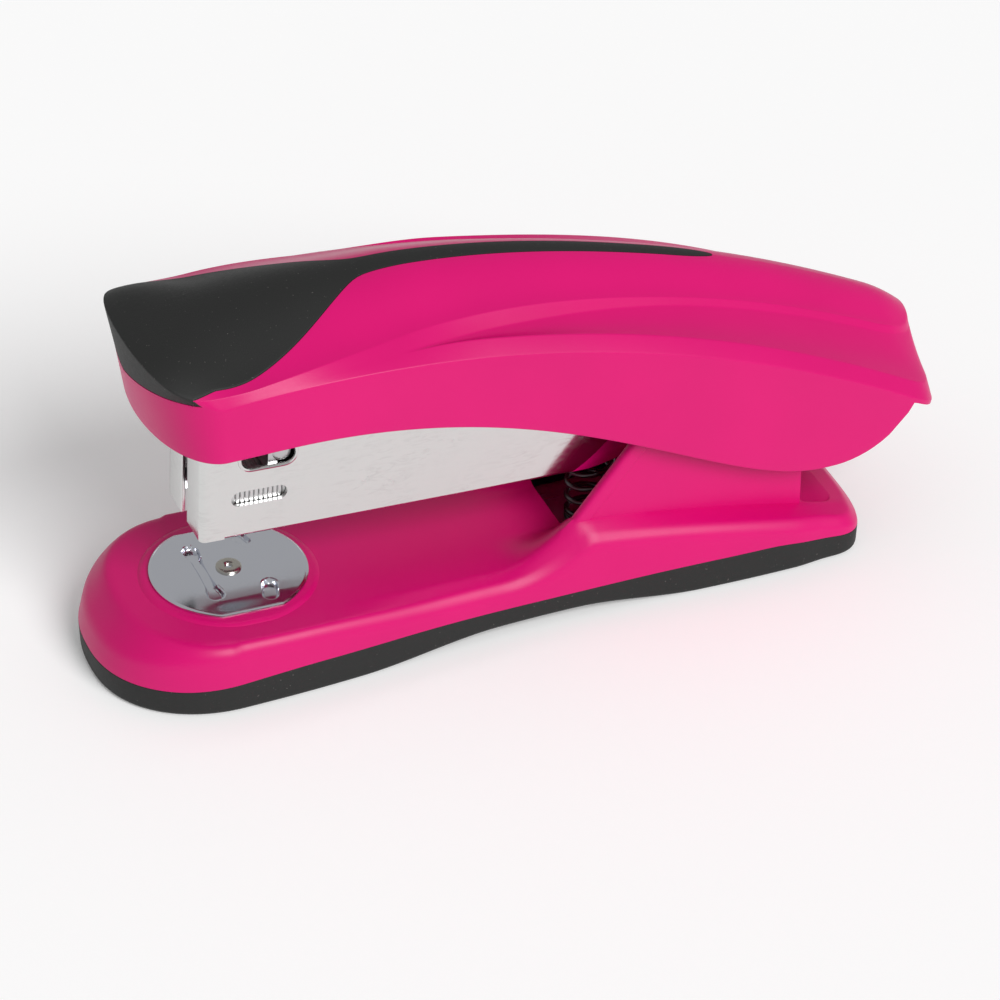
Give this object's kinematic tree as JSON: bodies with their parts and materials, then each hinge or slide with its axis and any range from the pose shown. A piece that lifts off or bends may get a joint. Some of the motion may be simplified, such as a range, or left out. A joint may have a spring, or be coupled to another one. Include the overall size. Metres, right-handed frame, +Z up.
{
  "type": "stapler",
  "caption": "Half-strip desk stapler: a hinged grip handle drives a blade through a sprung magazine over a turning anvil on a rubber-soled base.",
  "frame": {"origin": "middle of the overall footprint on the desk plane, halfway between the base's front and the handle's heel and on the centre plane", "axes": "+X from the nose to the hinge end, +Y across, +Z up from the desk"},
  "size_m": [0.1299, 0.036, 0.0587],
  "materials": {
    "magenta_plastic": "satin, very fine texture",
    "black_rubber": "matt",
    "black_plastic": "satin",
    "chrome_sheet": "bright plated sheet",
    "chrome_anvil": "bright plated, pressed",
    "steel": "zinc plated",
    "spring_wire": "drawn wire",
    "staple_wire": "bright drawn wire, glued into a strip"
  },
  "bodies": {
    "base": {"base_sole": "black_rubber", "base_housing": "magenta_plastic", "base_plate": "steel", "base_screws": "steel", "hinge_pin": "steel", "hinge_clips": "steel", "hinge_spacers": "black_plastic", "return_spring": "spring_wire"},
    "anvil": {"anvil_plate": "chrome_anvil", "anvil_rivet": "chrome_anvil", "anvil_spring_washer": "steel"},
    "magazine": {"magazine_cover": "chrome_sheet", "staple_rail": "steel", "magazine_carrier": "magenta_plastic", "staple_strip": "staple_wire", "front_bridge": "steel", "guide_pin": "steel", "pusher_rod": "steel", "pusher_spring": "spring_wire", "handle_spring": "spring_wire"},
    "pusher": {"pusher": "black_plastic"},
    "handle": {"handle_shell": "magenta_plastic", "grip_inlay": "black_rubber", "handle_frame": "steel", "driver_blade": "steel", "driver_rivets": "steel", "handle_screws": "steel"}
  },
  "joints": [
    {"name": "anvil_turn", "type": "hinge", "parent": "base", "child": "anvil", "pos_m": [-0.043, 0, 0.011], "axis": [0.0401, 0, 0.9992], "range_deg": [0, 180]},
    {"name": "magazine_hinge", "type": "hinge", "parent": "base", "child": "magazine", "pos_m": [0.041, 0, 0.031], "axis": [0, 1, 0], "range_deg": [-6.6, 0], "stiffness_Nm_per_rad": 2, "springref_deg": 8.59, "deforming": ["return_spring"]},
    {"name": "pusher_slide", "type": "slide", "parent": "magazine", "child": "pusher", "axis": [0.9983, 0, -0.0576], "range_m": [0, 0.012], "stiffness_N_per_m": 60, "springref_m": -0.03, "deforming": ["pusher_spring"]},
    {"name": "handle_hinge", "type": "hinge", "parent": "magazine", "child": "handle", "pos_m": [0.041, 0, 0.031], "axis": [0, 1, 0], "range_deg": [-6.2, 45], "stiffness_Nm_per_rad": 0.4, "springref_deg": 8.59, "deforming": ["handle_spring"]}
  ]
}
